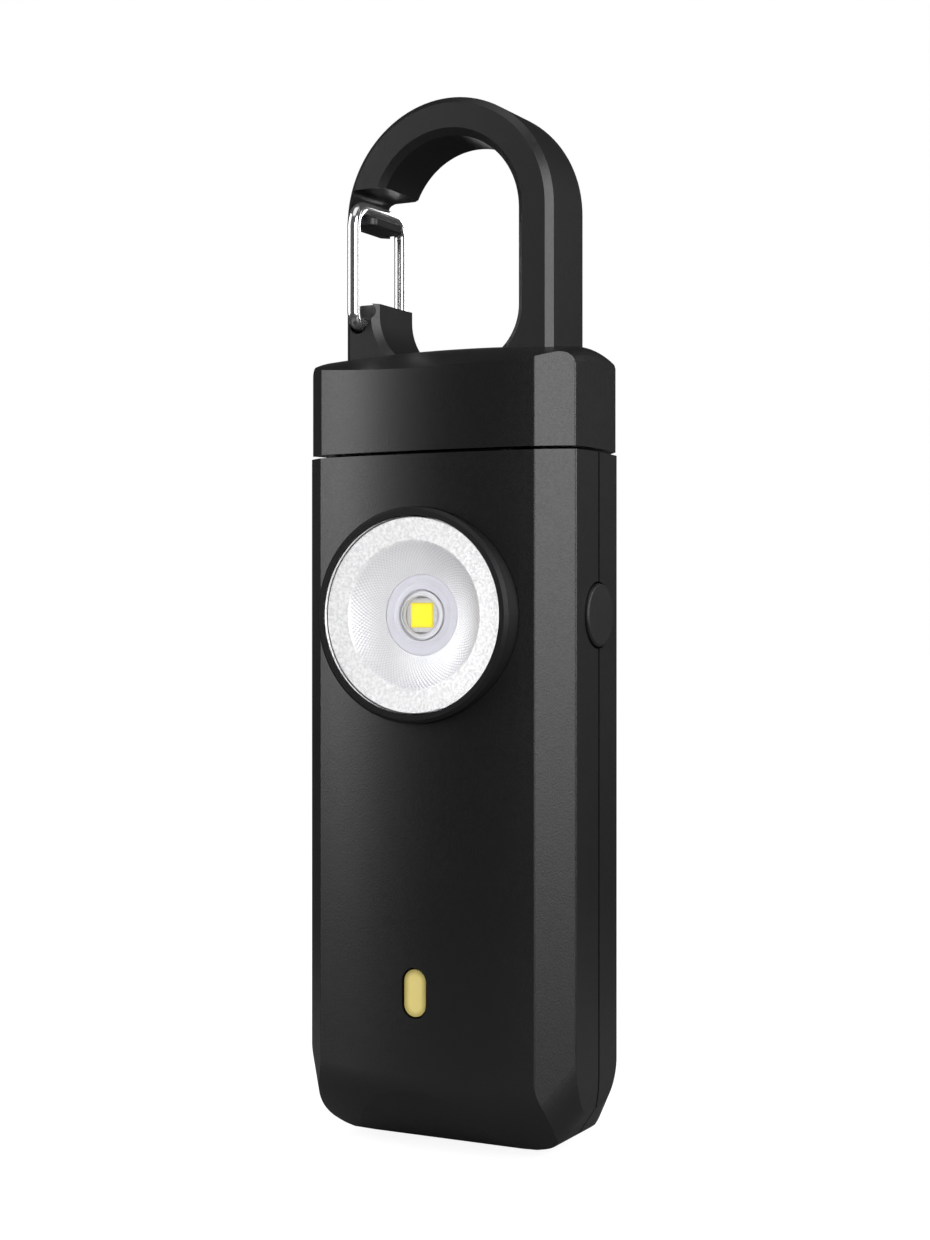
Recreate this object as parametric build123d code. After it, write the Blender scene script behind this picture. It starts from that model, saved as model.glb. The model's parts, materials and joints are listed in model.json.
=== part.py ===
from build123d import *
import math
import os

# Personal safety alarm: a keyring-size siren and torch with a pull-off carabiner cap.
# Millimetres. Y is zero on the parting plane of the two shells and negative at the torch,
# Z is zero at the lowest point of the rounded base. put() moves the finished pieces so
# that the frame's origin lies under the middle of the alarm.

# Housing outline, seen from above
half_width = 15.7
side_front = 5.5
side_rear = 4.9
corner_run = 3.1
corner_depth = 3.3
front_radius = 36.0
plan_edge_radius = 0.5
wall = 1.8

# Heights
torch_height = 55.8
torch_below_seam = 6.0
seam_radius = 143.0
seam_gap = 0.35
cap_height = 11.2
crown_radius_across = 21.6
crown_radius_along = 190.0
crown_shoulder_radius = 1.6
cap_draft_inset = 0.12

# Base, seen from the front: each side bows in a little, then leans in to a rounded foot
base_cross_radius = 12.0
side_bow_height = 8.1
side_bow_run = 0.33
side_lean_height = 4.78
side_lean_angle = 34.0
foot_run = 2.7
foot_radius = 3.0

# Base: the corner facets roll into the leaning sides, the front and back lean in
front_corner_radius = 7.3
rear_corner_radius = 6.8
front_tuck_height = 4.63
front_tuck_angle = 51.0
front_tuck_radius = 8.2
rear_tuck_height = 4.6
rear_tuck_angle = 50.0
rear_tuck_radius = 7.0

# Shells
parting_groove = 0.3
parting_groove_depth = 0.6
post_radius = 2.2
upper_post_from_side = 5.5
upper_post_air = 0.3
lower_post_from_side = 6.9
lower_post_height = 11.5
ledge_width = 3.0
ledge_thickness = 1.0
ledge_length = 16.0
running_gap = 0.05
fit_gap = 0.1

# Case screws
screw_radius = 0.95
screw_head_radius = 1.75
screw_head_height = 1.2
screw_sink = 3.2
screw_length = 9.0
drive_slot_width = 0.5
drive_slot_depth = 0.5

# Torch
bezel_from_side = 4.6
bezel_proud = 0.95
bezel_wall = 0.9
bezel_edge = 0.35
bezel_flange_air = 0.43
bezel_flange = 0.8
bezel_flange_thickness = 0.8
lens_thickness = 0.6
lens_sink = 0.08
dish_rim_drop = 0.25
dish_rim_width = 2.5
dish_floor_radius = 4.25
dish_floor_depth = 2.1
dish_wall = 0.7
ring_inner_radius = 2.8
ring_thickness = 0.6
dome_radius = 2.53
dome_height = 1.3
die_size = 2.55
die_thickness = 0.1
emitter_size = 3.5
emitter_thickness = 0.5
led_board_thickness = 1.0
led_pin_radius = 0.4
led_pin_x = 3.0
led_pin_above_chip = 0.8

# Indicator light
indicator_height = 17.1
slot_length = 5.24
slot_width = 2.9
pipe_length = 4.86
pipe_width = 2.5
pipe_sink = 0.25
pipe_flange = 0.9
pipe_flange_thickness = 0.8
indicator_led_size = 1.6
indicator_led_thickness = 0.8
pipe_air = 0.4

# Side button and its switch
button_radius = 3.3
button_gap = 0.2
button_proud = 0.35
button_edge = 0.25
button_flange = 0.9
button_flange_thickness = 0.5
button_travel = 0.5
button_backlash = 0.2
switch_length = 3.0
switch_depth = 3.4
switch_width = 4.4
plunger_radius = 0.8
plunger_showing = 1.6
plunger_engaged = 0.8

# Main board and what it carries
board_front = -2.6
board_thickness = 1.0
board_bottom = 4.5
board_below_socket = 0.6
board_side_air = 2.4
board_neck_air = 0.4
board_neck_height = 14.5
board_corner_radius = 0.8
battery_side_air = 3.5
battery_end_air = 0.9
battery_foot_air = 1.07
battery_thickness = 4.0
battery_gap = 0.3
battery_corner_radius = 1.6
battery_fold = 1.2
battery_fold_thickness = 1.0
coil_radius = 3.0
coil_height = 3.2
coil_from_side = 5.0
coil_below_socket = 0.1
coil_waist = 0.5
coil_flange = 0.6
chip_width = 5.0
chip_length = 6.2
chip_thickness = 1.5
chip_from_side = 4.3
chip_above_battery = 3.9
chip_leg_length = 0.9
chip_leg_width = 0.4
chip_leg_thickness = 0.2
chip_legs_a_side = 4
wire_radius = 0.45
battery_wire_from_side = 6.4
battery_wire_rise = 2.6
wire_bend = 1.3
siren_wire_x = 3.0
siren_wire_step = 2.8

# Siren and its grille in the rear shell
siren_below_coil = 2.4
cup_side_air = 2.4
cup_wall = 1.3
cup_length = 5.5
cup_shelf = 0.9
cup_shelf_depth = 2.4
disc_thickness = 0.3
ceramic_margin = 4.5
ceramic_thickness = 0.25
mesh_margin = 1.7
mesh_thickness = 0.25
grille_slots = 5
grille_spread_share = 0.7317
grille_slot_width = 1.3
grille_margin = 1.6

# Charging socket
port_half_width = 4.47
port_half_depth = 1.6
port_length = 7.3
port_sink = 0.8
port_shell = 0.3
port_mouth_depth = 5.6
port_tongue_half_width = 3.3
port_tongue_thickness = 0.7
port_tongue_length = 4.6
port_corner_radius = 1.3
port_clearance = 0.15

# Trip pin and its socket
pin_radius = 1.0
pin_reach = 11.3
pin_tip_length = 1.0
pin_tip_radius = 0.5
pin_head_radius = 2.0
pin_head_height = 0.9
socket_radius = 3.0
socket_floor = 1.0
socket_below_seam = 3.5
socket_foot_thickness = 1.5
socket_foot_drop = 4.6
socket_foot_half_width = 2.9
leaf_thickness = 0.25
leaf_width = 2.0
leaf_length = 7.5

# Cap and the plug under it
cap_wall = 2.0
cap_roof = 2.2
plug_from_screw = 3.2
plug_half_depth = 3.6
plug_corner_radius = 1.5
plug_depth = 2.6
insert_thickness = 1.8
insert_gap = 0.1
cap_boss_radius = 2.3
cap_screw_length = 4.6

# Carabiner hook
hook_from_side = 3.4
hook_bar_width = 4.0
hook_half_thickness = 4.3
hook_bevel = 0.7
hook_centre_above_cap = 14.0
opening_flat_half_width = 2.3
opening_sunk_in_cap = 2.0
stub_above_cap = 5.15
nose_below_centre = 0.3
nose_strip = 0.8
lip_half_thickness = 3.4
lip_thickness = 1.05
lip_reach = 3.1
lip_corner_radius = 0.9
lip_edge_radius = 0.25
notch_depth = 3.8
notch_corner_radius = 0.8

# Wire gate
gate_inside_hook = 1.7
gate_wire_radius = 0.725
gate_side_gap = 0.1
pivot_below_stub = 2.15
crossbar_above_lip = 0.175
gate_top_bend = 2.2
gate_foot_bend = 1.3
gate_hole_depth = 1.6
gate_opening_angle = 35.0
pocket_depth = 1.0
pocket_gap = 0.3
pocket_rise = 1.7
pocket_steps = 4

# Room for cuts to pass through
overrun = 2.0
reach = 120.0

# Worked out from the sizes above: outline and heights
front_half_width = half_width - corner_run
front_edge_y = -(side_front + corner_depth)
front_sag = front_radius - math.sqrt(front_radius**2 - front_half_width**2)
crest_y = front_edge_y - front_sag
front_axis_y = crest_y + front_radius
back_y = side_rear + corner_depth
inner_half_width = half_width - wall
bezel_radius = half_width - bezel_from_side
seam_height = torch_height + bezel_radius + torch_below_seam
crown_height = seam_height + cap_height
deck_height = seam_height - seam_gap / 2
cap_bottom_height = seam_height + seam_gap / 2
upper_post_x = half_width - upper_post_from_side
upper_post_reach = bezel_radius + bezel_flange + post_radius + upper_post_air
upper_post_height = torch_height + math.sqrt(upper_post_reach**2 - upper_post_x**2)
lower_post_x = half_width - lower_post_from_side

# Worked out: torch, light and button
lens_radius = bezel_radius - bezel_wall - fit_gap
dish_inner_radius = lens_radius - dish_rim_width
bezel_front_y = crest_y - bezel_proud
flange_radius = bezel_radius + bezel_flange
flange_sag = front_radius - math.sqrt(front_radius**2 - flange_radius**2)
flange_front_y = crest_y + flange_sag + wall + bezel_flange_air
lens_front_y = bezel_front_y + lens_sink
lens_back_y = lens_front_y + lens_thickness
dish_rim_y = lens_back_y
dish_floor_y = dish_rim_y + dish_floor_depth
led_board_y = dish_floor_y + ring_thickness + running_gap
emitter_y = led_board_y - emitter_thickness
board_back = board_front + board_thickness
pipe_front_y = crest_y + pipe_sink
pipe_back_y = board_front - indicator_led_thickness - pipe_air
button_flange_x = inner_half_width - button_backlash
switch_x = button_flange_x - button_flange_thickness - plunger_showing

# Worked out: trip pin, board, cell and siren
pin_tip_height = seam_height - pin_reach
socket_bottom = pin_tip_height - socket_floor
socket_top = seam_height - socket_below_seam
board_top = socket_bottom - board_below_socket
board_half_width = inner_half_width - board_side_air
board_neck_half_width = lower_post_x - post_radius - board_neck_air
battery_half_width = inner_half_width - battery_side_air
battery_wire_x = battery_half_width - battery_wire_from_side
battery_bottom = indicator_height + pipe_length / 2 + pipe_flange + battery_foot_air
battery_top = torch_height - bezel_radius - bezel_flange - battery_end_air
chip_x = chip_from_side - board_half_width
chip_z = battery_top + chip_above_battery + chip_length / 2
led_pin_z = chip_z + chip_length / 2 + led_pin_above_chip
coil_x = coil_from_side - board_half_width
coil_z = socket_bottom - socket_foot_drop - coil_below_socket - coil_radius
cup_radius = inner_half_width - cup_side_air
siren_height = coil_z - coil_radius - siren_below_coil - cup_radius
ceramic_radius = cup_radius - ceramic_margin
mesh_radius = cup_radius - mesh_margin
grille_field_radius = mesh_radius - grille_margin
grille_pitch = 2 * grille_spread_share * grille_field_radius / (grille_slots - 1)

# Worked out: cap and hook
insert_bottom = cap_bottom_height + fit_gap
insert_top = insert_bottom + insert_thickness
cap_screw_x = upper_post_x
plug_half_length = cap_screw_x - plug_from_screw
hook_half_width = half_width - hook_from_side
opening_half_width = hook_half_width - hook_bar_width
opening_corner_radius = opening_half_width - opening_flat_half_width
hook_centre_height = crown_height + hook_centre_above_cap
opening_bottom = crown_height - opening_sunk_in_cap
hook_root = opening_bottom - 2 * hook_bevel
stub_top = crown_height + stub_above_cap
nose_bottom = hook_centre_height - nose_below_centre
notch_top = nose_bottom + notch_depth
gate_x = gate_inside_hook - hook_half_width
gate_leg_y = hook_half_thickness + gate_side_gap + gate_wire_radius
pivot_height = stub_top - pivot_below_stub
crossbar_height = nose_bottom + lip_thickness + crossbar_above_lip + gate_wire_radius
frame_shift = -(bezel_front_y + back_y) / 2


def plan(inset=0.0):
    """The eight-sided outline with its bowed front, moved in by inset."""
    corner = [(-front_half_width, front_edge_y), (front_half_width, front_edge_y)]
    right = [(half_width, -side_front), (half_width, side_rear), (front_half_width, back_y)]
    left = [(-x, y) for x, y in reversed(right)]
    front = ThreePointArc(corner[0], (0, crest_y), corner[1])
    rest = Polyline(corner[1], *right, *left, corner[0])
    outline = make_face([front, rest])
    outline = fillet(outline.vertices(), plan_edge_radius)
    return offset(outline, -inset, kind=Kind.INTERSECTION) if inset else outline


def leaning(distance, corner_height, angle, radius, top):
    """A profile in run and height: upright at distance, then sloping in below the corner."""
    run = distance + corner_depth
    drop = run / math.tan(math.radians(angle))
    points = [(distance, top), (distance, corner_height), (distance - run, corner_height - drop)]
    points += [(-reach, corner_height - drop), (-reach, top)]
    shape = make_face(Polyline(*points, points[0]))
    corner = shape.vertices().sort_by_distance((distance, corner_height))[0]
    return fillet(corner, radius)


def flat_tuck(direction, distance, corner_height, angle, radius):
    """Everything behind a wall that faces direction and leans in at its foot."""
    nx, ny = direction
    side = Plane(origin=(0, 0, 0), x_dir=(nx, ny, 0), z_dir=(ny, -nx, 0))
    return extrude(side * leaning(distance, corner_height, angle, radius, reach), reach, both=True)


def bowed_tuck(inset):
    """Everything behind the bowed front, which leans in at its foot."""
    radius = front_radius - inset
    height = front_tuck_height + inset
    slope = leaning(radius, height, front_tuck_angle, front_tuck_radius, reach)
    half = Plane.XZ * slope & Plane.XZ * Pos(reach / 2, 0) * Rectangle(reach, 2 * reach)
    return Pos(0, front_axis_y, 0) * revolve(half, Axis.Z)


def base_form(inset):
    """Everything above the base and between the two sides, seen from the front."""
    lean_x = half_width - side_bow_run
    foot_x = half_width - foot_run
    foot_z = side_lean_height - (lean_x - foot_x) / math.tan(math.radians(side_lean_angle))
    bow_drop = side_bow_height - side_lean_height
    bow_radius = (bow_drop**2 + side_bow_run**2) / (2 * side_bow_run)
    bow = [RadiusArc((side * half_width, side_bow_height), (side * lean_x, side_lean_height),
                     side * bow_radius) for side in (-1, 1)]
    lean = [Line((side * lean_x, side_lean_height), (side * foot_x, foot_z)) for side in (-1, 1)]
    bottom = ThreePointArc((-foot_x, foot_z), (0, 0), (foot_x, foot_z))
    top = Polyline((-half_width, side_bow_height), (-half_width, reach), (half_width, reach),
                   (half_width, side_bow_height))
    shape = make_face([*bow, *lean, bottom, top])
    feet = shape.vertices().filter_by(lambda v: abs(v.Y - foot_z) < running_gap)
    shape = fillet(feet, foot_radius)
    shape = offset(shape, -inset, kind=Kind.INTERSECTION) if inset else shape
    return extrude(Plane.XZ * shape, reach, both=True)


def corner_roll(side, facing, edge_y, radius, inset):
    """Everything behind a corner facet and a leaning side, with a round between the two."""
    span = math.hypot(corner_run, corner_depth)
    lean = math.radians(side_lean_angle)
    facet = Vector(side * corner_depth / span, facing * corner_run / span, 0)
    slope = Vector(side * math.cos(lean), 0, -math.sin(lean))
    edge = facet.cross(slope).normalized()
    meet_z = side_lean_height + side_bow_run / math.tan(lean)
    place = Plane(origin=(side * half_width, edge_y, meet_z), x_dir=facet, z_dir=edge)
    turn = math.radians(facet.get_angle(slope))
    corner = (-inset, -inset * (1 - math.cos(turn)) / math.sin(turn))
    along_slope = (corner[0] - reach * math.sin(turn), corner[1] + reach * math.cos(turn))
    along_facet = (corner[0], corner[1] - reach)
    far = (along_slope[0], along_slope[1] - reach)
    shape = make_face(Polyline(corner, along_slope, far, along_facet, corner))
    shape = fillet(shape.vertices().sort_by_distance(corner)[0], radius - inset)
    return extrude(place * shape, 2 * reach, both=True)


def base_crown(inset):
    """Everything above a base that is also rounded from front to back."""
    radius = base_cross_radius
    barrel = Pos(0, 0, radius + inset) * Rot(0, 90, 0) * Cylinder(radius, 2 * reach)
    return barrel + Pos(0, 0, radius + inset + reach / 2) * Box(2 * reach, 2 * radius, reach)


def housing_form(inset=0.0):
    """The housing's outer shape without its top, moved in by inset."""
    form = extrude(plan(inset), reach)
    form &= base_form(inset)
    form &= base_crown(inset)
    form &= bowed_tuck(inset)
    rear = (rear_tuck_height + inset, rear_tuck_angle, rear_tuck_radius)
    form &= flat_tuck((0, 1), back_y - inset, *rear)
    for side in (-1, 1):
        form &= corner_roll(side, -1, -side_front, front_corner_radius, inset)
        form &= corner_roll(side, 1, side_rear, rear_corner_radius, inset)
    return form


def below_seam(height):
    """Everything below the gently crowned seam, whose highest line is at height."""
    barrel = Rot(0, 90, 0) * Cylinder(seam_radius, 2 * reach)
    return Pos(0, 0, height - seam_radius) * barrel


def half_space(front):
    """Everything on one side of the parting plane."""
    side = -1 if front else 1
    return Pos(0, side * reach / 2, 0) * Box(3 * reach, reach, 3 * reach)


def rod(radius, start_y, end_y, x=0.0, z=0.0):
    """A round bar along Y."""
    length = end_y - start_y
    return Pos(x, (start_y + end_y) / 2, z) * Rot(90, 0, 0) * Cylinder(radius, length)


def obround_y(length, width, start_y, end_y, z):
    """An upright slot shape along Y."""
    face = Rot(0, 0, 90) * SlotOverall(length, width)
    bar = extrude(Plane.XZ * face, (end_y - start_y) / 2, both=True)
    return Pos(0, (start_y + end_y) / 2, z) * bar


def turned(points):
    """A solid of revolution about the torch axis from points of radius and Y."""
    face = make_face(Polyline(*points, points[0]))
    return Pos(0, 0, torch_height) * revolve(face, Axis.Y)


def post_places():
    upper = [(side * upper_post_x, upper_post_height) for side in (-1, 1)]
    lower = [(side * lower_post_x, lower_post_height) for side in (-1, 1)]
    return upper + lower


def hollow_housing():
    outer = housing_form() & below_seam(deck_height)
    room = housing_form(wall) & below_seam(deck_height - wall)
    return outer, room


def shell_openings():
    """The holes that both shells share: cap plug, side button and charging socket."""
    plug = RectangleRounded(
        2 * (plug_half_length + fit_gap), 2 * (plug_half_depth + fit_gap), plug_corner_radius
    )
    cuts = Pos(0, 0, deck_height - wall - overrun) * extrude(plug, wall + 2 * overrun)
    bore = Rot(0, 90, 0) * Cylinder(button_radius + button_gap, wall + 2 * overrun)
    cuts += Pos(half_width - wall / 2, 0, torch_height) * bore
    mouth = RectangleRounded(
        2 * (port_half_width + port_clearance), 2 * (port_half_depth + port_clearance),
        port_corner_radius + port_clearance,
    )
    cuts += Pos(0, 0, -overrun) * extrude(mouth, wall + 2 * overrun)
    return cuts


def front_shell(outer, room, cuts):
    shell = (outer - room) & half_space(True)
    ledges = []
    for side in (-1, 1):
        x = side * (half_width - wall - ledge_width / 2 + running_gap)
        middle = (battery_bottom + battery_top) / 2
        ledges += [Pos(x, board_front - ledge_thickness / 2, middle)
                   * Box(ledge_width, ledge_thickness, ledge_length)]
    posts = [rod(post_radius, crest_y, 0, x, z) for x, z in post_places()]
    inside = (Compound(posts + ledges) & housing_form(wall / 2)) & below_seam(deck_height - wall / 2)
    shell += inside
    for x, z in post_places():
        shell -= rod(screw_radius + running_gap, screw_sink - screw_length - overrun, overrun, x, z)
    shell -= cuts
    shell -= rod(bezel_radius + running_gap, crest_y - overrun, 0, 0, torch_height)
    shell -= obround_y(slot_length, slot_width, crest_y - overrun, crest_y + 2 * wall, indicator_height)
    return shell


def rear_shell(outer, room, cuts):
    shell = (outer - room) & half_space(False)
    posts = Compound([rod(post_radius, 0, back_y, x, z) for x, z in post_places()])
    shell += (posts & housing_form(wall / 2)) & below_seam(deck_height - wall / 2)
    for x, z in post_places():
        shell -= rod(screw_radius + fit_gap, -overrun, back_y + overrun, x, z)
        head_seat = back_y - screw_sink
        shell -= rod(screw_head_radius + fit_gap, head_seat, back_y + overrun, x, z)
    shell -= cuts
    groove = (outer - housing_form(parting_groove_depth)) & Pos(0, parting_groove / 2, 0) * Box(
        3 * reach, parting_groove, 3 * reach)
    shell -= groove
    for index in range(grille_slots):
        drop = (index - (grille_slots - 1) / 2) * grille_pitch
        length = 2 * math.sqrt(grille_field_radius**2 - drop**2)
        slot = extrude(Plane.XZ * SlotOverall(length, grille_slot_width), overrun + wall, both=True)
        shell -= Pos(0, back_y, siren_height + drop) * slot
    return shell


def case_screws():
    """Four pan-head screws in one node, sunk in the rear shell."""
    screws = []
    for x, z in post_places():
        seat = back_y - screw_sink
        screw = rod(screw_radius, seat - screw_length, seat, x, z)
        screw += rod(screw_head_radius, seat, seat + screw_head_height, x, z)
        slot = Box(2 * screw_head_radius, drive_slot_depth, drive_slot_width)
        screw -= Pos(x, seat + screw_head_height - drive_slot_depth / 2, z) * slot
        screw -= Pos(x, seat + screw_head_height - drive_slot_depth / 2, z) * Rot(0, 90, 0) * slot
        screws.append(screw)
    return Compound(screws)


def lens_bezel():
    inner = bezel_radius - bezel_wall
    back = flange_front_y + bezel_flange_thickness
    points = [
        (inner, bezel_front_y), (bezel_radius - bezel_edge, bezel_front_y),
        (bezel_radius, bezel_front_y + bezel_edge), (bezel_radius, flange_front_y),
        (flange_radius, flange_front_y), (flange_radius, back), (inner, back),
    ]
    return turned(points)


def lens():
    points = [(0, lens_front_y), (lens_radius, lens_front_y), (lens_radius, lens_back_y), (0, lens_back_y)]
    return turned(points)


def reflector():
    """The satin dish: a nearly flat rim, a cone and a seat for the clear ring."""
    inner_y = dish_rim_y + dish_rim_drop
    points = [
        (lens_radius, dish_rim_y), (dish_inner_radius, inner_y), (dish_floor_radius, dish_floor_y),
        (dish_floor_radius, led_board_y), (dish_floor_radius + dish_wall, led_board_y),
        (dish_inner_radius, inner_y + dish_wall), (lens_radius - dish_wall, dish_rim_y + dish_wall),
        (lens_radius - dish_wall, led_board_y), (lens_radius, led_board_y),
    ]
    return turned(points)


def collimator_ring():
    outer = dish_floor_radius - running_gap
    front = dish_floor_y
    back = dish_floor_y + ring_thickness
    slope = (ring_thickness - die_thickness) / 2
    points = [(ring_inner_radius, front + slope), (outer - slope, front), (outer, front + slope),
              (outer, back), (ring_inner_radius, back)]
    return turned(points)


def led_dome():
    base = emitter_y - die_thickness - running_gap
    rise = Line((0, base), (0, base - dome_height))
    crown = CenterArc((0, base - dome_height + dome_sphere()), dome_sphere(), -90, dome_sweep())
    face = make_face([rise, crown, Line(crown @ 1, (0, base))])
    return Pos(0, 0, torch_height) * revolve(face, Axis.Y)


def dome_sphere():
    """Radius of the sphere whose cap has the dome's height and edge."""
    return (dome_radius**2 + dome_height**2) / (2 * dome_height)


def dome_sweep():
    return math.degrees(math.asin(dome_radius / dome_sphere()))


def led_emitter():
    body = Box(emitter_size, emitter_thickness, emitter_size)
    return Pos(0, emitter_y + emitter_thickness / 2, torch_height) * body


def led_die():
    body = Box(die_size, die_thickness, die_size)
    return Pos(0, emitter_y - die_thickness / 2, torch_height) * body


def led_board():
    return rod(lens_radius - running_gap, led_board_y, led_board_y + led_board_thickness, 0, torch_height)


def led_pins():
    start = led_board_y + led_board_thickness
    pins = [rod(led_pin_radius, start, board_front, side * led_pin_x, led_pin_z) for side in (-1, 1)]
    return Compound(pins)


def indicator_window():
    pipe = obround_y(pipe_length, pipe_width, pipe_front_y, pipe_back_y, indicator_height)
    flange_y = crest_y + wall + fit_gap
    pipe += obround_y(pipe_length + 2 * pipe_flange, pipe_width + 2 * pipe_flange, flange_y,
                      flange_y + pipe_flange_thickness, indicator_height)
    return pipe


def indicator_led():
    body = Box(indicator_led_size, indicator_led_thickness, indicator_led_size)
    return Pos(0, board_front - indicator_led_thickness / 2, indicator_height) * body


def side_button():
    """A round button with a retaining flange behind the wall."""
    face_x = half_width + button_proud
    length = face_x - button_flange_x
    cap = Pos(face_x - length / 2, 0, torch_height) * Rot(0, 90, 0) * Cylinder(button_radius, length)
    rim = cap.edges().filter_by(GeomType.CIRCLE).sort_by(Axis.X)[-1]
    cap = fillet(rim, button_edge)
    flange = Rot(0, 90, 0) * Cylinder(button_radius + button_flange, button_flange_thickness)
    return cap + Pos(button_flange_x - button_flange_thickness / 2, 0, torch_height) * flange


def button_switch():
    body = Box(switch_length, switch_depth, switch_width)
    body = Pos(switch_x - switch_length / 2, board_back + switch_depth / 2, torch_height) * body
    depth = plunger_engaged + 2 * button_travel
    bore = Rot(0, 90, 0) * Cylinder(plunger_radius + running_gap, 2 * depth)
    return body - Pos(switch_x, 0, torch_height) * bore


def switch_plunger():
    length = plunger_showing + plunger_engaged
    stem = Rot(0, 90, 0) * Cylinder(plunger_radius, length)
    return Pos(switch_x - plunger_engaged + length / 2, 0, torch_height) * stem


def main_board():
    half = [
        (board_neck_half_width, board_bottom), (board_neck_half_width, board_neck_height),
        (board_half_width, board_neck_height), (board_half_width, board_top),
    ]
    outline = half + [(-x, z) for x, z in reversed(half)]
    face = make_face(Polyline(*outline, outline[0]))
    face = fillet(face.vertices(), board_corner_radius)
    board = extrude(Plane.XZ * face, board_thickness / 2, both=True)
    return Pos(0, (board_front + board_back) / 2, 0) * board


def battery_cell():
    """A flat pouch cell with soft long edges and the folded seal at its top."""
    back = board_front - battery_gap
    height = battery_top - battery_bottom - battery_fold
    middle = battery_bottom + height / 2
    cell = Pos(0, back - battery_thickness / 2, middle) * Box(
        2 * battery_half_width, battery_thickness, height)
    cell = fillet(cell.edges().filter_by(Axis.Z), battery_corner_radius)
    fold = Box(2 * (battery_half_width - battery_corner_radius), battery_fold_thickness, battery_fold)
    return cell + Pos(0, back - battery_thickness / 2, battery_top - battery_fold / 2) * fold


def battery_leads():
    start_y = board_front - battery_gap - battery_thickness / 2
    wires = []
    for side in (-1, 1):
        x = side * battery_wire_x
        route = [(x, start_y, battery_top), (x, start_y, battery_top + battery_wire_rise),
                 (x, board_front, battery_top + battery_wire_rise)]
        line = FilletPolyline(*route, radius=wire_bend)
        wires.append(sweep(Plane(line @ 0, z_dir=line % 0) * Circle(wire_radius), path=line))
    return Compound(wires)


def siren_leads():
    disc_y = siren_disc_y() - disc_thickness - ceramic_thickness
    wires = []
    for side in (-1, 1):
        x = side * siren_wire_x
        middle_y = (disc_y + board_back) / 2
        route = [(x, disc_y, siren_height), (x, middle_y, siren_height),
                 (x, middle_y, siren_height + siren_wire_step),
                 (x, board_back, siren_height + siren_wire_step)]
        line = FilletPolyline(*route, radius=siren_wire_step / 2 - running_gap)
        wires.append(sweep(Plane(line @ 0, z_dir=line % 0) * Circle(wire_radius), path=line))
    return Compound(wires)


def cup_back_y():
    return back_y - wall - mesh_thickness


def siren_disc_y():
    """The face of the brass disc that lies on the cup's shelf."""
    return cup_back_y() - cup_shelf_depth


def siren_cup():
    back = cup_back_y()
    front = back - cup_length
    inner = cup_radius - cup_wall
    shelf = siren_disc_y()
    cup = rod(cup_radius, front, back, 0, siren_height)
    cup -= rod(inner, front - overrun, shelf, 0, siren_height)
    return cup - rod(inner - cup_shelf, front, back + overrun, 0, siren_height)


def siren_disc():
    back = siren_disc_y()
    radius = cup_radius - cup_wall - running_gap
    return rod(radius, back - disc_thickness, back, 0, siren_height)


def siren_ceramic():
    back = siren_disc_y() - disc_thickness
    return rod(ceramic_radius, back - ceramic_thickness, back, 0, siren_height)


def dust_mesh():
    return rod(mesh_radius, cup_back_y(), cup_back_y() + mesh_thickness, 0, siren_height)


def step_up_coil():
    """A drum inductor: two flanges with a wound waist between them."""
    back = board_back + coil_height
    drum = rod(coil_radius, board_back, back, coil_x, coil_z)
    waist = rod(coil_radius + overrun, board_back + coil_flange, back - coil_flange, coil_x,
                coil_z)
    core = rod(coil_radius - coil_waist, board_back, back, coil_x, coil_z)
    return drum - (waist - core)


def control_chip():
    body = Pos(chip_x, board_front - chip_thickness / 2, chip_z) * Box(
        chip_width, chip_thickness, chip_length)
    pitch = chip_length / (chip_legs_a_side + 1)
    for side in (-1, 1):
        for index in range(chip_legs_a_side):
            z = chip_z + (index - (chip_legs_a_side - 1) / 2) * pitch
            x = chip_x + side * (chip_width + chip_leg_length) / 2
            leg = Box(chip_leg_length, chip_leg_thickness, chip_leg_width)
            body += Pos(x, board_front - chip_leg_thickness / 2, z) * leg
    return body


def charge_port():
    """A flat oval receptacle with its contact tongue, on the back of the board."""
    outline = RectangleRounded(2 * port_half_width, 2 * port_half_depth, port_corner_radius)
    inner = RectangleRounded(2 * (port_half_width - port_shell), 2 * (port_half_depth - port_shell),
                             port_corner_radius - port_shell)
    port = extrude(outline, port_length) - extrude(inner, port_mouth_depth)
    tongue = Box(2 * port_tongue_half_width, port_tongue_thickness, port_tongue_length)
    port += Pos(0, 0, port_mouth_depth - port_tongue_length / 2) * tongue
    return Pos(0, 0, port_sink) * port


def pin_socket():
    height = socket_top - socket_bottom
    barrel = Pos(0, 0, socket_bottom + height / 2) * Cylinder(socket_radius, height)
    foot_height = socket_foot_drop + socket_radius
    foot = Box(2 * socket_foot_half_width, socket_foot_thickness, foot_height)
    top = socket_bottom + socket_radius
    barrel += Pos(0, board_back + socket_foot_thickness / 2, top - foot_height / 2) * foot
    depth = socket_top - pin_tip_height + running_gap
    bore = Cylinder(pin_radius + running_gap, depth + overrun)
    return barrel - Pos(0, 0, socket_top - (depth - overrun) / 2) * bore


def contact_leaf():
    """The springy contact that the pin holds off its partner, on the socket's flank."""
    x = socket_radius + leaf_thickness / 2
    strip = Pos(x, 0, socket_top - leaf_length / 2) * Box(leaf_thickness, leaf_width, leaf_length)
    return strip


def trip_pin():
    """A steel pin with a head, hanging from the cap's plug into the socket."""
    top = insert_top
    points = [
        (0, pin_tip_height), (pin_tip_radius, pin_tip_height),
        (pin_radius, pin_tip_height + pin_tip_length),
        (pin_radius, top - pin_head_height), (pin_head_radius, top - pin_head_height),
        (pin_head_radius, top), (0, top),
    ]
    return revolve(Plane.XZ * make_face(Polyline(*points, points[0])), Axis.Z)


def cap_screw_places():
    return [(side * cap_screw_x, 0) for side in (-1, 1)]


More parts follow.
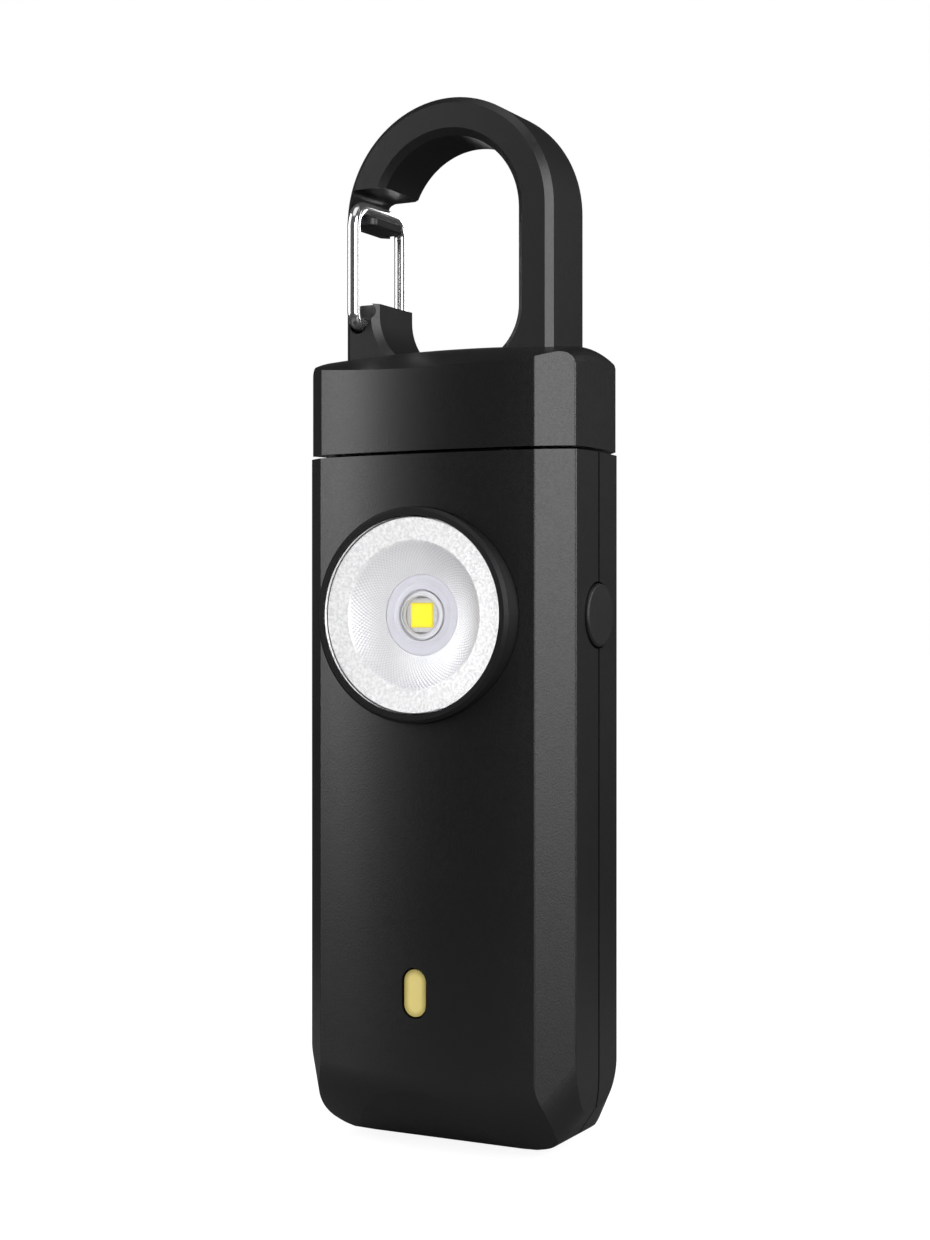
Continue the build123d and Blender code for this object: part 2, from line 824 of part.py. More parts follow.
def cap_insert():
    """The plate that closes the cap from below, with the plug that enters the housing."""
    plate = extrude(plan(cap_draft_inset + cap_wall + insert_gap), insert_thickness)
    plate = Pos(0, 0, insert_bottom) * plate
    plug = RectangleRounded(2 * plug_half_length, 2 * plug_half_depth, plug_corner_radius)
    bottom = deck_height - plug_depth
    plate += Pos(0, 0, bottom) * extrude(plug, insert_bottom - bottom + running_gap)
    bore = Cylinder(pin_radius, 2 * reach)
    seat = Cylinder(pin_head_radius, 2 * pin_head_height)
    plate -= bore
    plate -= Pos(0, 0, insert_top) * seat
    for x, y in cap_screw_places():
        plate -= Pos(x, y, 0) * Cylinder(screw_radius + fit_gap, 2 * reach)
        sink = Cylinder(screw_head_radius + fit_gap, 2 * screw_head_height)
        plate -= Pos(x, y, insert_bottom) * sink
    return plate


def cap_screws():
    screws = []
    for x, y in cap_screw_places():
        seat = insert_bottom + screw_head_height
        head = Pos(x, y, seat - screw_head_height / 2) * Cylinder(screw_head_radius, screw_head_height)
        shank = Pos(x, y, seat + cap_screw_length / 2) * Cylinder(screw_radius, cap_screw_length)
        slot = Box(2 * screw_head_radius, drive_slot_width, drive_slot_depth)
        cut = Pos(x, y, insert_bottom + drive_slot_depth / 2)
        screws.append(head + shank - cut * slot - cut * Rot(0, 0, 90) * slot)
    return Compound(screws)


def crowned_top(lower=0.0, inset=cap_draft_inset):
    """Everything under the cap's roof, crowned both ways, with soft shoulders."""
    top = crown_height - lower
    axis = top - crown_radius_across
    width = half_width - inset
    edge = top - (crown_radius_along - math.sqrt(crown_radius_along**2 - width**2))
    arc = ThreePointArc((-width, edge), (0, top), (width, edge))
    face = make_face([arc, Polyline((width, edge), (width, axis), (-width, axis), (-width, edge))])
    face = fillet(face.vertices().filter_by(lambda v: v.Y > axis + running_gap), crown_shoulder_radius)
    return revolve(Plane.XZ * face, Axis((0, 0, axis), (1, 0, 0)))


def cap_body():
    block = Pos(0, 0, cap_bottom_height - overrun) * extrude(plan(cap_draft_inset), reach / 2)
    block &= crowned_top()
    block -= below_seam(cap_bottom_height)
    inset = cap_draft_inset + cap_wall
    room = Pos(0, 0, cap_bottom_height - overrun) * extrude(plan(inset), reach / 2)
    room &= crowned_top(cap_roof, inset)
    for x, y in cap_screw_places():
        room -= Pos(x, y, insert_top + reach / 4) * Cylinder(cap_boss_radius, reach / 2)
        room += Pos(x, y, insert_top) * Cylinder(screw_radius + running_gap, 2 * cap_screw_length)
    return block - room


def opening_outline():
    """The hook's opening: round above, with large corners below."""
    x, z, r = opening_half_width, hook_centre_height, opening_corner_radius
    crown = ThreePointArc((-x, z), (0, z + x), (x, z))
    right = FilletPolyline((x, z), (x, opening_bottom), (-x, opening_bottom), (-x, z), radius=r)
    return make_face([crown, right])


def ring_outline():
    """The hook's outside: a half circle on a straight shank."""
    x, z = hook_half_width, hook_centre_height
    crown = ThreePointArc((-x, z), (0, z + x), (x, z))
    return make_face([crown, Polyline((x, z), (x, hook_root), (-x, hook_root), (-x, z))])


def hook():
    """The carabiner's ring with bevelled rims, cut open at the gate."""
    ring = ring_outline() - opening_outline()
    body = extrude(Plane.XZ * ring, hook_half_thickness, both=True)
    rims = body.faces().filter_by(Axis.Y).edges()
    rims = rims.filter_by(lambda e: e.center().Z > hook_root + running_gap)
    body = chamfer(rims, hook_bevel)
    mouth = Box(hook_half_width, reach, nose_bottom - stub_top)
    body -= Pos(-hook_half_width, 0, (stub_top + nose_bottom) / 2) * mouth
    return body - gate_notch() + nose_lip() - gate_pockets()


def gate_notch():
    """The notch in the nose where the crossbar rests, open towards the ring."""
    inner_x = nose_strip - hook_half_width
    width = hook_half_width - nose_strip - opening_half_width + overrun
    height = notch_top - nose_bottom + 2 * overrun
    slot = Pos(inner_x + width / 2, notch_top - height / 2) * Rectangle(width, height)
    corner = slot.vertices().sort_by_distance((inner_x, notch_top))[0]
    return extrude(Plane.XZ * fillet(corner, notch_corner_radius), reach / 2, both=True)


def nose_lip():
    """The narrow rounded lip that keeps the closed crossbar in its notch."""
    start = -hook_half_width + nose_strip / 2
    length = lip_reach - nose_strip / 2
    outline = Rectangle(length, 2 * lip_half_thickness)
    ends = outline.vertices().sort_by(Axis.X)[-2:]
    lip = extrude(fillet(ends, lip_corner_radius), lip_thickness)
    tip = lip.edges().filter_by(lambda e: e.center().X > length / 2 - 2 * lip_corner_radius)
    lip = fillet(tip.filter_by(lambda e: abs(e.tangent_at(0.5).Z) < 0.5), lip_edge_radius)
    return Pos(start + length / 2, 0, nose_bottom) * lip


def gate_pockets():
    """Fan-shaped recesses and blind holes that take the feet of the wire gate."""
    cuts = []
    radius = gate_wire_radius + pocket_gap
    for side in (-1, 1):
        face_y = side * hook_half_thickness
        for step in range(pocket_steps + 1):
            angle = gate_opening_angle * step / pocket_steps
            slot = SlotCenterToCenter(pocket_rise, 2 * radius)
            fan = Pos(gate_x, pivot_height) * Rot(0, 0, 90 - angle) * Pos(pocket_rise / 2, 0) * slot
            cuts.append(Pos(0, face_y, 0) * extrude(Plane.XZ * fan, pocket_depth, both=True))
        floor_y = side * (hook_half_thickness - pocket_depth)
        deep = floor_y - side * (gate_hole_depth + fit_gap)
        low, high = sorted((floor_y + side * pocket_depth, deep))
        cuts.append(rod(gate_wire_radius + running_gap, low, high, gate_x, pivot_height))
    return Compound(cuts)


def carabiner_cap():
    return cap_body() + hook()


def gate_wire():
    """One bent wire: two feet in the holes, two legs and a crossbar."""
    foot_y = hook_half_thickness - pocket_depth - gate_hole_depth
    half = [(gate_x, -foot_y, pivot_height), (gate_x, -gate_leg_y, pivot_height),
            (gate_x, -gate_leg_y, crossbar_height)]
    route = half + [(x, -y, z) for x, y, z in reversed(half)]
    bends = [gate_foot_bend, gate_top_bend, gate_top_bend, gate_foot_bend]
    line = FilletPolyline(*route, radius=bends)
    return sweep(Plane(line @ 0, z_dir=line % 0) * Circle(gate_wire_radius), path=line)


def put(shape, name):
    """Write one node in the alarm's frame."""
    shape = Pos(0, frame_shift, 0) * shape
    export_step(shape, "parts/" + name + ".step")


def main():
    os.makedirs("parts", exist_ok=True)
    outer, room = hollow_housing()
    cuts = shell_openings()
    put(front_shell(outer, room, cuts), "front_shell")
    put(rear_shell(outer, room, cuts), "rear_shell")
    makers = [
        case_screws, lens_bezel, lens, reflector, collimator_ring, led_dome, led_emitter, led_die,
        led_board, led_pins, indicator_window, indicator_led, side_button, button_switch,
        switch_plunger, main_board, battery_cell, battery_leads, siren_leads, siren_cup, siren_disc,
        siren_ceramic, dust_mesh, step_up_coil, control_chip, charge_port, pin_socket, contact_leaf,
        trip_pin, cap_insert, cap_screws, carabiner_cap, gate_wire,
    ]
    for maker in makers:
        put(maker(), maker.__name__)


main()
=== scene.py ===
import json
import math

import bpy
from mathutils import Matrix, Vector


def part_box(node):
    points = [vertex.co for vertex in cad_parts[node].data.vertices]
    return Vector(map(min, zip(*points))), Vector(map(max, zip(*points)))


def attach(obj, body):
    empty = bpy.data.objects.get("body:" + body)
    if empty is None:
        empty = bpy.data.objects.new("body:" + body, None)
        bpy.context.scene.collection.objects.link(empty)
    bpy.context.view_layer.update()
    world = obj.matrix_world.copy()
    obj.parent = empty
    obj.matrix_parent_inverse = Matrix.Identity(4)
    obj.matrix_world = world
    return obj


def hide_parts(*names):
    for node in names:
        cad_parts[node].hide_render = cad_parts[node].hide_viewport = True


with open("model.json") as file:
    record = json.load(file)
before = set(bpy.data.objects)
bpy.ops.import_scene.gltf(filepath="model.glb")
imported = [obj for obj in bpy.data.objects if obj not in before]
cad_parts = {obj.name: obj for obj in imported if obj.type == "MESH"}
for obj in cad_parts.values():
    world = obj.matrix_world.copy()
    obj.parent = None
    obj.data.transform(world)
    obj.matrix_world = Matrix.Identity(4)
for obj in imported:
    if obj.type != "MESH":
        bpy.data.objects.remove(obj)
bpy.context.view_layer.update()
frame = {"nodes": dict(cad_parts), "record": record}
nodes = frame["nodes"]

MM = 0.001
TURN = 2 * math.pi
WHITE = (1, 1, 1, 1)


# Shader maths

NOISE_ROUGHNESS = 0.55
# The Mix node keeps its colour sockets at these places
MIX_FACTOR, MIX_FIRST, MIX_SECOND, MIX_RESULT = 0, 6, 7, 2


class Value:
    """What a node puts out. Arithmetic on it adds Math nodes."""

    def __init__(self, tree, socket):
        self.tree = tree
        self.socket = socket

    def math(self, operation, *others, first=None):
        operands = [self, *others] if first is None else [first, self]
        sockets = dict(enumerate(operands))
        return self.tree.node("ShaderNodeMath", {"operation": operation}, sockets)

    def __add__(self, other):
        return self.math("ADD", other)

    def __sub__(self, other):
        return self.math("SUBTRACT", other)

    def __mul__(self, other):
        return self.math("MULTIPLY", other)

    def __rsub__(self, other):
        return self.math("SUBTRACT", first=other)

    def __pow__(self, other):
        return self.math("POWER", other)

    def __abs__(self):
        return self.math("ABSOLUTE")

    def __gt__(self, other):
        return self.math("GREATER_THAN", other)

    def __lt__(self, other):
        return self.math("LESS_THAN", other)

    __radd__ = __add__

    def sine(self):
        return self.math("SINE")

    def root(self):
        return self.math("SQRT")

    def most(self, other):
        return self.math("MAXIMUM", other)

    def least(self, other):
        return self.math("MINIMUM", other)

    def ramp(self, low, high):
        """0 at low, 1 at high, and smooth in between."""
        settings = {"interpolation_type": "SMOOTHSTEP"}
        sockets = {"Value": self, "From Min": low, "From Max": high}
        return self.tree.node("ShaderNodeMapRange", settings, sockets)


class NodeTree:
    """The nodes of a material or a world, and short ways to add to them."""

    def __init__(self, owner):
        owner.use_nodes = True
        self.tree = owner.node_tree
        self.tree.nodes.clear()

    def join(self, feed, socket):
        """Links a value to a socket, or sets the socket to a plain number or colour."""
        if isinstance(feed, Value):
            self.tree.links.new(feed.socket, socket)
        else:
            socket.default_value = feed

    def node(self, kind, settings, sockets, output=0):
        """Adds a node, gives it its settings and then its sockets, and returns one output."""
        made = self.tree.nodes.new(kind)
        for key, setting in settings.items():
            setattr(made, key, setting)
        for key, feed in sockets.items():
            self.join(feed, made.inputs[key])
        return Value(self, made.outputs[output])

    def end_with(self, kind, shader):
        """Gives the shader to an output node."""
        self.join(shader, self.tree.nodes.new(kind).inputs["Surface"])


class Finish(NodeTree):
    """One surface finish: a Principled shader and the nodes that vary it."""

    def __init__(self, name, **constants):
        self.material = bpy.data.materials.new(name)
        super().__init__(self.material)
        self.shader = self.tree.nodes.new("ShaderNodeBsdfPrincipled")
        self.end_with("ShaderNodeOutputMaterial", Value(self, self.shader.outputs[0]))
        for label, number in constants.items():
            socket = label.replace("_", " ").title().replace("Ior", "IOR")
            self.shader.inputs[socket].default_value = number
        self.here = self.node("ShaderNodeTexCoord", {}, {}, "Object")
        self.x, self.y, self.z = (
            self.node("ShaderNodeSeparateXYZ", {}, {"Vector": self.here}, axis)
            for axis in "XYZ")

    def feed(self, label, value):
        self.join(value, self.shader.inputs[label])

    def noise(self, scale, detail=3.0, vector=None):
        """Soft clouds from 0 to 1. Scale counts them in a metre."""
        sockets = {"Vector": vector or self.here, "Scale": scale, "Detail": detail,
                   "Roughness": NOISE_ROUGHNESS}
        return self.node("ShaderNodeTexNoise", {}, sockets, "Fac")

    def cells(self, scale, feature="F1"):
        """Distance within random cells. Scale counts them in a metre."""
        sockets = {"Vector": self.here, "Scale": scale}
        return self.node("ShaderNodeTexVoronoi", {"feature": feature}, sockets, "Distance")

    def stretched(self, x, y, z):
        """Object coordinates scaled along each axis, for grain with a direction."""
        return self.node("ShaderNodeMapping", {}, {"Vector": self.here, "Scale": (x, y, z)})

    def colours(self, factor, first, second):
        """A colour between two colours, or between two colour values."""
        made = self.tree.nodes.new("ShaderNodeMix")
        made.data_type = "RGBA"
        self.join(factor, made.inputs[MIX_FACTOR])
        for place, colour in ((MIX_FIRST, first), (MIX_SECOND, second)):
            feed = colour if isinstance(colour, Value) else (*colour, 1)
            self.join(feed, made.inputs[place])
        return Value(self, made.outputs[MIX_RESULT])

    def bump(self, height, depth):
        """Raises the surface by height times depth, in metres."""
        sockets = {"Height": height, "Distance": depth, "Strength": 1.0}
        self.feed("Normal", self.node("ShaderNodeBump", {}, sockets, "Normal"))

    def radius_about(self, x, z):
        """Distance from a line along Y."""
        across, up = self.x - x, self.z - z
        return (across * across + up * up).root()

    def turn_about(self, x, z):
        """Angle round a line along Y, in radians."""
        return (self.z - z).math("ARCTAN2", self.x - x)


def middle(node):
    """The centre of a CAD node's box."""
    low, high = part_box(node)
    return (low + high) / 2


def scaled(colour, share):
    """A colour darker or lighter by a factor."""
    return [channel * share for channel in colour]


torch = middle("lens")
siren = middle("siren_cup")
light_pipe = middle("indicator_window")


# Finishes

def moulded_black():
    """Black moulded plastic with a spark-eroded grain and a faint handled sheen."""
    f = Finish("housing_plastic", specular_ior_level=0.7)
    tone = (0.0065, 0.0065, 0.0068)
    cloud = f.noise(55, 4.0)
    fine = f.noise(2600, 2.0)
    shade = f.colours(cloud, scaled(tone, 0.8), scaled(tone, 1.25))
    f.feed("Base Color", f.colours(fine * 0.35, shade, scaled(tone, 1.7)))
    f.feed("Roughness", 0.365 + (cloud - 0.5) * 0.08 + (fine - 0.5) * 0.12)
    pits = f.cells(4600)
    f.bump(f.noise(6800, 2.0) * 0.65 + pits * 0.35, 0.013 * MM)
    return f.material


def bezel_black():
    """Smoother black plastic with the faint rings of a turned mould."""
    f = Finish("bezel_plastic", specular_ior_level=0.25)
    radians_per_metre = 52000
    ring = (f.radius_about(torch.x, torch.z) * radians_per_metre).sine()
    dark, light = (0.009, 0.009, 0.0095), (0.015, 0.015, 0.0155)
    f.feed("Base Color", f.colours(f.noise(90), dark, light))
    f.feed("Roughness", 0.42 + (f.noise(1500) - 0.5) * 0.12)
    f.bump(f.noise(4200, 2.0) * 0.7 + ring * 0.1, 0.008 * MM)
    return f.material


def button_black():
    """Black plastic with a slightly coarser grain than the case's."""
    f = Finish("button_plastic", specular_ior_level=0.5)
    dark, light = (0.010, 0.010, 0.0105), (0.018, 0.018, 0.0185)
    f.feed("Base Color", f.colours(f.noise(300), dark, light))
    f.feed("Roughness", 0.42 + (f.noise(2200) - 0.5) * 0.14)
    f.bump(f.noise(4600, 2.0) * 0.6 + f.cells(3000) * 0.4, 0.01 * MM)
    return f.material


def clear_plastic(name, tint, ior, ripple, clear):
    """Tinted clear plastic, its surface rippled by a depth in millimetres."""
    f = Finish(name, transmission_weight=clear, ior=ior)
    f.feed("Base Color", f.colours(f.noise(240), tint, scaled(tint, 0.985)))
    f.feed("Roughness", 0.012 + f.noise(900) * 0.02)
    f.bump(f.noise(160, 1.0), ripple * MM)
    return f.material


def dome_silicone():
    """Clear silicone with a milky white band above a foot painted grey on its left as the well's
    shade.
    """
    f = Finish("dome_silicone", specular_ior_level=0.9)
    off_centre = 0.16 * MM
    radius = f.radius_about(torch.x + off_centre, torch.z)
    low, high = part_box("led_dome")
    edge = (high.x - low.x) / 2
    band = radius.ramp(0.76 * edge, 0.82 * edge)
    foot = radius.ramp(0.93 * edge, 0.96 * edge)
    # Painted shade: the foot greys towards the left, where the well's shadow would fall.
    shaded = (torch.x - f.x).ramp(-0.3 * edge, 0.5 * edge)
    haze = f.noise(500)
    glass = f.colours(band, (0.60, 0.60, 0.68), (0.97, 0.96, 1.0))
    well_painted_shade = f.colours(shaded, (0.86, 0.86, 0.93), (0.34, 0.34, 0.35))
    f.feed("Base Color", f.colours(foot, glass, well_painted_shade))
    f.feed("Alpha", 0.01 + band * 0.88 + haze * 0.02)
    f.feed("Roughness", 0.03 + haze * 0.04)
    f.bump(haze, 0.002 * MM)
    return f.material


def satin_reflector():
    """Metallised plastic: a stippled rim, and a cone of small facets in rings and spokes, painted
    alternately lighter and darker as glints.
    """
    f = Finish("satin_reflector")
    spoke_count, radians_per_metre = 110, 15000
    cone_ends, rim_starts = 7.35 * MM, 7.7 * MM
    radius = f.radius_about(torch.x, torch.z)
    spokes = (f.turn_about(torch.x, torch.z) * spoke_count).sine()
    rings = (radius * radians_per_metre).sine()
    facets = spokes * rings
    stipple = f.noise(3000)
    cone = 1 - radius.ramp(cone_ends, rim_starts)
    relief = facets * 0.5 * cone + (stipple - 0.5) * 1.6 * (1 - cone)
    tone = f.colours(stipple.ramp(0.35, 0.65), (0.70, 0.70, 0.705), (0.90, 0.90, 0.90))
    # Painted glints: the cone's facets alternate lighter and darker in colour.
    cone_painted_glints = f.colours(facets * 0.4 + 0.5, (0.58, 0.58, 0.60), (0.80, 0.80, 0.815))
    f.feed("Base Color", f.colours(cone, tone, cone_painted_glints))
    f.feed("Metallic", 0.86 + cone * 0.06)
    f.feed("Roughness", 0.30 + stipple * 0.12)
    f.bump(relief, 0.035 * MM)
    return f.material


def package_white():
    """The white ceramic package under the LED's die."""
    f = Finish("led_package", specular_ior_level=0.5)
    f.feed("Base Color", f.colours(f.noise(900), (0.76, 0.76, 0.83), (0.86, 0.86, 0.91)))
    f.feed("Roughness", 0.38 + f.noise(1800) * 0.15)
    f.bump(f.noise(3600), 0.006 * MM)
    return f.material


def phosphor():
    """The yellow phosphor on the die, with a painted glow that is brightest in its middle."""
    # Painted glow: the die gives out light though it is no lamp.
    f = Finish("yellow_phosphor", emission_strength=0.35, specular_ior_level=0.15)
    off_middle = abs(f.x - torch.x).most(abs(f.z - torch.z))
    bright_half, dull_half = 0.9 * MM, 1.3 * MM
    edge = off_middle.ramp(bright_half, dull_half)
    grain = f.noise(5200, 2.0)
    body = f.colours(grain * 0.4, (0.95, 0.88, 0.003), (0.90, 0.80, 0.006))
    f.feed("Base Color", f.colours(edge * 0.6, body, (0.80, 0.62, 0.03)))
    # The painted glow fades towards the die's edges.
    f.feed("Emission Color", f.colours(edge, (1.0, 0.93, 0.01), (0.7, 0.55, 0.01)))
    f.feed("Roughness", 0.45 + grain * 0.2)
    f.bump(grain, 0.012 * MM)
    return f.material


def amber_window():
    """Frosted yellow plastic, with painted shade darkening it towards the rim of its slot."""
    f = Finish("amber_window", specular_ior_level=0.5, coat_weight=0.35, coat_roughness=0.08)
    straight_half, rim_starts, slot_shade_full = 1.18 * MM, 0.55 * MM, 1.22 * MM
    rise = (abs(f.z - light_pipe.z) - straight_half).most(0.0)
    across = f.x - light_pipe.x
    # Painted shade: the window darkens towards the rim of its recessed slot.
    rim = (across * across + rise * rise).root().ramp(rim_starts, slot_shade_full)
    cloud = f.noise(700)
    body = f.colours(cloud, (0.92, 0.74, 0.24), (0.98, 0.84, 0.31))
    f.feed("Base Color", f.colours(rim * 0.8, body, (0.56, 0.44, 0.12)))
    f.feed("Roughness", 0.34 + cloud * 0.14)
    f.bump(f.noise(2400), 0.01 * MM)
    return f.material


def polished_steel(name, colour, roughness, along):
    """Bright wire or pin with fine drawing lines along one axis."""
    f = Finish(name, metallic=0.92, specular_ior_level=1.0)
    drawn = f.noise(1, 2.0, vector=f.stretched(*along))
    f.feed("Base Color", f.colours(drawn, colour, scaled(colour, 0.86)))
    f.feed("Roughness", roughness + drawn * 0.07)
    f.bump(drawn, 0.0008 * MM)
    return f.material


def solder_mask(name, mask, copper, scale):
    """A circuit board: solder mask over square-cornered tracks, and tinned pads."""
    f = Finish(name, specular_ior_level=0.5, coat_weight=0.3, coat_roughness=0.2)
    across = (f.x * scale).math("WRAP", 1.0, 0.0)
    up = (f.z * scale).math("WRAP", 1.0, 0.0)
    upright = f.noise(scale * 0.22, 0.0) > 0.5
    stripe = abs(across - 0.5) * upright + abs(up - 0.5) * (1 - upright)
    track_ends, pad_ends = (0.16, 0.20), (0.16, 0.19)
    track = 1 - stripe.ramp(*track_ends)
    pad = 1 - f.cells(scale * 0.4).ramp(*pad_ends)
    covered = f.colours(track * 0.55, mask, copper)
    f.feed("Base Color", f.colours(pad, covered, (0.62, 0.62, 0.60)))
    f.feed("Metallic", pad * 0.85)
    f.feed("Roughness", 0.38 + f.noise(1200) * 0.14 - pad * 0.12)
    f.bump(track.most(pad), 0.02 * MM)
    return f.material


def pouch_foil():
    """Crinkled aluminium laminate."""
    f = Finish("pouch_foil", specular_ior_level=0.5)
    creases = f.cells(260, "DISTANCE_TO_EDGE").ramp(0.0, 0.12)
    soft = f.noise(110, 4.0)
    f.feed("Base Color", f.colours(soft, (0.62, 0.63, 0.64), (0.78, 0.79, 0.80)))
    f.feed("Metallic", 0.86 + soft * 0.1)
    f.feed("Roughness", 0.27 + soft * 0.16)
    f.bump(creases * 0.5 + soft, 0.09 * MM)
    return f.material


def insulation(name, colour):
    """The soft plastic round a lead."""
    f = Finish(name, specular_ior_level=0.5)
    grain = f.noise(1300, 2.0)
    f.feed("Base Color", f.colours(grain, colour, scaled(colour, 0.72)))
    f.feed("Roughness", 0.38 + grain * 0.12)
    f.bump(grain, 0.01 * MM)
    return f.material


def inner_plastic():
    """Unseen black mouldings, left shinier and with faint flow marks."""
    f = Finish("inner_plastic", specular_ior_level=0.5)
    flow = f.noise(1, vector=f.stretched(90, 90, 380))
    f.feed("Base Color", f.colours(flow, (0.016, 0.016, 0.017), (0.030, 0.030, 0.031)))
    f.feed("Roughness", 0.36 + flow * 0.16)
    f.bump(f.noise(2400), 0.008 * MM)
    return f.material


def siren_metal(name, light, dark, metallic, roughness):
    """A turned or plated disc with fine rings about the siren's axis."""
    f = Finish(name)
    radians_per_metre = 31000
    rings = (f.radius_about(siren.x, siren.z) * radians_per_metre).sine() * 0.5 + 0.5
    bloom = f.noise(320, 4.0)
    f.feed("Base Color", f.colours(bloom, light, dark))
    f.feed("Metallic", metallic - bloom * 0.1)
    f.feed("Roughness", roughness + bloom * 0.16)
    f.bump(rings * 0.4 + bloom * 0.6, 0.008 * MM)
    return f.material


def woven_mesh():
    """Fine dust cloth behind the grille: over and under threads with open corners, darkened there
    by painted shade.
    """
    f = Finish("mesh_fabric", specular_ior_level=0.3)
    thread_pitch = 0.32 * MM
    wave = math.pi / thread_pitch
    warp, weft = (f.x * wave).sine(), (f.z * wave).sine()
    over = warp * weft
    threads = abs(warp).most(abs(weft))
    dark, light = (0.004, 0.004, 0.004), (0.055, 0.055, 0.058)
    # Painted shade: the colour darkens from the threads' middles to the open corners between
    # them.
    f.feed("Base Color", f.colours(threads ** 3.0, dark, light))
    f.feed("Roughness", 0.72 + f.noise(3000) * 0.15)
    f.bump(over * 0.4 + threads, 0.06 * MM)
    return f.material


def wound_coil():
    """Enamelled copper turns between two ferrite flanges, with painted shade in the grooves
    between turns.
    """
    f = Finish("coil_dark", specular_ior_level=0.5)
    flange, wire = 0.62 * MM, 0.22 * MM
    low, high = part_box("step_up_coil")
    near_end = (f.y - low.y).least(high.y - f.y)
    winding = near_end > flange
    turns = (f.y * (TURN / wire)).sine() * 0.5 + 0.5
    # Painted shade: the copper is darker in the grooves between turns and lighter on their
    # crests.
    copper = f.colours(turns, (0.30, 0.085, 0.020), (0.62, 0.26, 0.09))
    ferrite = f.colours(f.noise(2000), (0.020, 0.020, 0.022), (0.045, 0.045, 0.047))
    f.feed("Base Color", f.colours(winding, ferrite, copper))
    f.feed("Metallic", winding * 0.8)
    f.feed("Roughness", 0.62 - winding * 0.32 + f.noise(1500) * 0.08)
    f.bump(turns * winding, 0.06 * MM)
    return f.material


def chip_package():
    """Black epoxy with tinned legs and a dimple at one corner."""
    f = Finish("chip_black", specular_ior_level=0.5)
    centre = middle("control_chip")
    half_body = 2.5 * MM
    dimple_x, dimple_z = centre.x - 1.7 * MM, centre.z + 2.3 * MM
    leg = abs(f.x - centre.x) > half_body
    dimple_floor, dimple_edge = 0.3 * MM, 0.36 * MM
    dimple = 1 - f.radius_about(dimple_x, dimple_z).ramp(dimple_floor, dimple_edge)
    epoxy = f.colours(f.noise(2600), (0.014, 0.014, 0.015), (0.035, 0.035, 0.036))
    f.feed("Base Color", f.colours(leg, epoxy, (0.66, 0.66, 0.65)))
    f.feed("Metallic", leg * 0.95)
    f.feed("Roughness", 0.58 - leg * 0.3 - dimple * 0.25)
    f.bump(f.noise(3400) * 0.4 - dimple, 0.05 * MM)
    return f.material


def stamped_port():
    """The receptacle's steel shell round a black contact tongue with gilt contacts."""
    f = Finish("port_steel")
    half_tongue, half_width, tongue_top = 0.36 * MM, 3.32 * MM, 1.72 * MM
    contact_pitch = 0.5 * MM
    centre = middle("charge_port")
    low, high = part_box("charge_port")
    inside = (abs(f.y - centre.y) < half_tongue) * (abs(f.x - centre.x) < half_width)
    inside = inside * (f.z < high.z - tongue_top)
    contact = ((f.x * (TURN / contact_pitch)).sine() > 0.1) * inside
    brushed = f.noise(1, vector=f.stretched(60, 60, 2600))
    steel = f.colours(brushed, (0.60, 0.60, 0.59), (0.74, 0.74, 0.73))
    tongue = f.colours(contact, (0.02, 0.02, 0.02), (0.83, 0.62, 0.25))
    f.feed("Base Color", f.colours(inside, steel, tongue))
    f.feed("Metallic", (1 - inside).most(contact))
    f.feed("Roughness", 0.24 + brushed * 0.16)
    f.bump(brushed, 0.006 * MM)
    return f.material


def screw_steel():
    """Dark plated steel, worn unevenly."""
    f = Finish("screw_steel", metallic=1.0)
    wear = f.noise(1400, 4.0)
    f.feed("Base Color", f.colours(wear, (0.30, 0.30, 0.31), (0.55, 0.55, 0.56)))
    f.feed("Roughness", 0.28 + wear * 0.2)
    f.bump(f.noise(3800), 0.008 * MM)
    return f.material


def switch_body():
    """A black plastic switch with tinned metal at its foot."""
    f = Finish("switch_body", specular_ior_level=0.5)
    low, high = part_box("button_switch")
    foot_starts = 2.6 * MM
    foot = (high.y - f.y) > foot_starts
    f.feed("Base Color", f.colours(foot, (0.022, 0.022, 0.024), (0.56, 0.56, 0.55)))
    f.feed("Metallic", foot * 0.85)
    f.feed("Roughness", 0.46 + f.noise(1900) * 0.12 - foot * 0.14)
    f.bump(f.noise(3000), 0.01 * MM)
    return f.material


